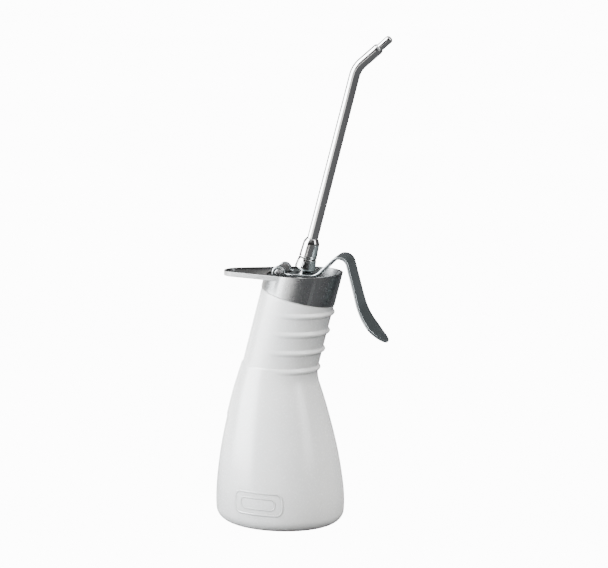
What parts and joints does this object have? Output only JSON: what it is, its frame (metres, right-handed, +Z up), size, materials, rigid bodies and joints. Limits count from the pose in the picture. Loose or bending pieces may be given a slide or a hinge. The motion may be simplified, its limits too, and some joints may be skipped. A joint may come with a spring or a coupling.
{
  "type": "pump oiler",
  "caption": "Hand-held pump oiler: a round translucent bottle with a leaning ribbed neck, a cast head with a thumb horn, a squeeze lever and a rigid spout bent near its tip.",
  "frame": {"origin": "centre of the ring that the bottle stands on", "axes": "+Z up; +X towards the lever's side, the way the spout leans; the thumb horn points to -X; symmetric about y = 0"},
  "size_m": [0.094, 0.0715, 0.271],
  "materials": {
    "milky_polyethylene": "blow-moulded, translucent, soft gloss",
    "die_cast_zinc": "satin, fine cast grain",
    "plated_steel": "bright zinc plate",
    "bright_nickel": "polished nickel plate",
    "brass": "turned",
    "spring_steel": "drawn",
    "black_rubber": "moulded, oil resistant",
    "natural_plastic": "extruded and moulded"
  },
  "bodies": {
    "bottle": {"bottle": "milky_polyethylene"},
    "head": {"pump_head": "die_cast_zinc", "neck_gasket": "black_rubber", "pump_cylinder": "brass", "guide_bush": "brass", "rod_seal": "black_rubber", "foot_valve": "brass", "valve_cage": "brass", "suction_tube": "natural_plastic", "strainer": "natural_plastic", "return_spring": "spring_steel", "hinge_pin": "spring_steel"},
    "lever": {"lever": "plated_steel"},
    "plunger": {"piston_rod": "bright_nickel", "thrust_collar": "bright_nickel", "piston": "brass", "piston_seal": "black_rubber", "knurled_sleeve": "bright_nickel"},
    "spout": {"spout_gasket": "black_rubber", "spout_ferrule": "bright_nickel", "spout_tube": "bright_nickel", "spout_nose": "bright_nickel"},
    "inlet_ball": {"inlet_ball": "spring_steel"},
    "outlet_ball": {"outlet_ball": "spring_steel"}
  },
  "joints": [
    {"name": "head_lift_off", "type": "slide", "parent": "bottle", "child": "head", "axis": [0.2198, 0, 0.9755], "range_m": [0, 0.135]},
    {"name": "lever_squeeze", "type": "hinge", "parent": "head", "child": "lever", "pos_m": [-0.0031, 0, 0.1397], "axis": [0, 1, 0], "range_deg": [0, 10], "stiffness_Nm_per_rad": 0.188, "springref_deg": -20.45},
    {"name": "plunger_stroke", "type": "slide", "parent": "head", "child": "plunger", "axis": [-0.2198, 0, -0.9755], "range_m": [0, 0.00196], "deforming": ["return_spring"]},
    {"name": "spout_swivel", "type": "hinge", "parent": "plunger", "child": "spout", "pos_m": [0.01198, 0, 0.15121], "axis": [0.2198, 0, 0.9755], "continuous": true},
    {"name": "inlet_ball_lift", "type": "slide", "parent": "head", "child": "inlet_ball", "axis": [0.2198, 0, 0.9755], "range_m": [0, 0.001]},
    {"name": "outlet_ball_lift", "type": "slide", "parent": "plunger", "child": "outlet_ball", "axis": [0.2198, 0, 0.9755], "range_m": [0, 0.001]}
  ],
  "couplings": [
    {"joint": "plunger_stroke", "follows": "lever_squeeze", "m_per_rad": 0.0112}
  ]
}
